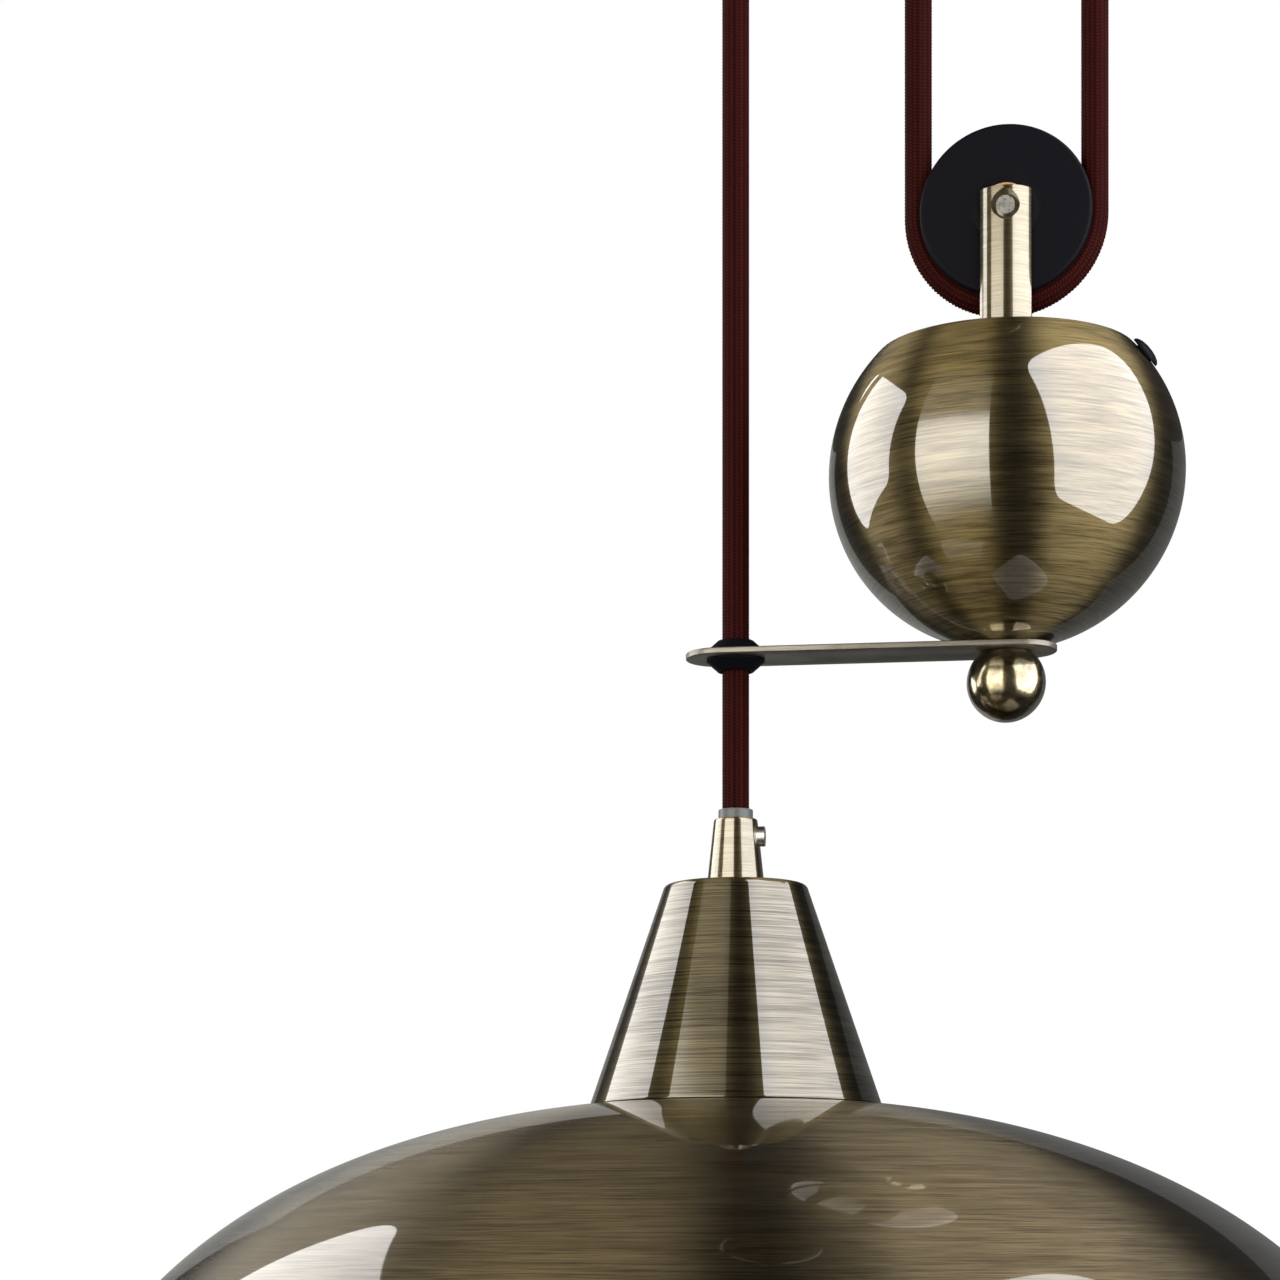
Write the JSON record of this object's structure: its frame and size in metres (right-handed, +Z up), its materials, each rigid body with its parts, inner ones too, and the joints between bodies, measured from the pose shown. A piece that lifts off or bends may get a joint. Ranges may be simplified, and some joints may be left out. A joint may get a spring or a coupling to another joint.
{
  "type": "rise and fall pendant",
  "caption": "Rise and fall pendant lamp: a brushed brass dome shade on a braided cord that runs over a canopy wheel and is balanced by a ball counterweight with a guide arm.",
  "frame": {"origin": "centre of the canopy's ceiling plate, on its top face against the ceiling", "axes": "+Z up, so the lamp hangs at negative Z; +X along the guide arm from the lamp cord to the counterweight; wheel axles along Y"},
  "size_m": [0.3367, 0.3366, 0.7573],
  "materials": {
    "antique_brass": "brushed and darkened brass under clear gloss lacquer",
    "pale_brass": "light brushed brass",
    "zinc_steel": "zinc plated",
    "spring_steel": "blackened",
    "bronze": "sintered bronze",
    "contact_brass": "bare brass",
    "black_plastic": "satin moulded",
    "grey_plastic": "satin moulded",
    "white_plastic": "satin moulded",
    "porcelain": "glazed",
    "iron": "raw casting",
    "braid": "braided textile sleeve",
    "lead_sheath": "smooth insulation"
  },
  "bodies": {
    "canopy": {"ceiling_plate": "zinc_steel", "plate_ears": "zinc_steel", "wheel_hanger": "zinc_steel", "hanger_rivets": "zinc_steel", "canopy_axle": "zinc_steel", "axle_clip": "spring_steel", "canopy_washers": "bronze", "canopy_cup": "antique_brass", "canopy_screws": "antique_brass", "cord_bushes": "black_plastic", "cord_anchor": "zinc_steel", "anchor_screws": "zinc_steel", "terminal_block": "white_plastic", "terminal_screws": "contact_brass", "earth_screw": "contact_brass", "canopy_cord": "braid", "cord_tail": "braid", "lamp_cord": "braid", "weight_cord": "braid"},
    "upper_wheel": {"canopy_wheel": "black_plastic", "canopy_wheel_bush": "bronze"},
    "counterweight": {"fork": "pale_brass", "weight_axle": "zinc_steel", "weight_axle_screws": "zinc_steel", "weight_washers": "bronze", "ball_shell": "antique_brass", "ball_lid": "antique_brass", "ballast": "iron", "centre_stud": "zinc_steel", "filler_plug": "black_plastic", "guide_arm": "antique_brass", "eye_bush": "black_plastic", "finial": "antique_brass"},
    "lower_wheel": {"weight_wheel": "black_plastic", "weight_wheel_bush": "bronze"},
    "lamp": {"cord_sleeve": "grey_plastic", "grip_body": "pale_brass", "grip_screw": "zinc_steel", "grip_nipple": "zinc_steel", "cone_cover": "antique_brass", "cone_locknut": "zinc_steel", "lampholder_cap": "black_plastic", "lampholder_skirt": "black_plastic", "lampholder_insert": "porcelain", "screw_shell": "contact_brass", "lampholder_contacts": "contact_brass", "lampholder_terminals": "contact_brass", "lamp_leads": "lead_sheath", "shade_ring": "black_plastic", "shade": "antique_brass"}
  },
  "joints": [
    {"name": "lamp_slide", "type": "slide", "parent": "canopy", "child": "lamp", "axis": [0, 0, 1], "range_m": [-0.45, 0.02], "deforming": ["lamp_cord"]},
    {"name": "counterweight_slide", "type": "slide", "parent": "canopy", "child": "counterweight", "axis": [0, 0, 1], "range_m": [-0.0101, 0.2251], "deforming": ["weight_cord"]},
    {"name": "upper_wheel_turn", "type": "hinge", "parent": "canopy", "child": "upper_wheel", "pos_m": [-0.0208, 0, -0.031], "axis": [0, 1, 0], "range_deg": [-1185, 56]},
    {"name": "lower_wheel_turn", "type": "hinge", "parent": "counterweight", "child": "lower_wheel", "pos_m": [0.02185, 0, -0.4272], "axis": [0, 1, 0], "range_deg": [-30, 622]}
  ],
  "couplings": [
    {"joint": "counterweight_slide", "follows": "lamp_slide", "ratio": -0.5},
    {"joint": "upper_wheel_turn", "follows": "lamp_slide", "rad_per_m": 45.767},
    {"joint": "lower_wheel_turn", "follows": "lamp_slide", "rad_per_m": -24.038}
  ]
}
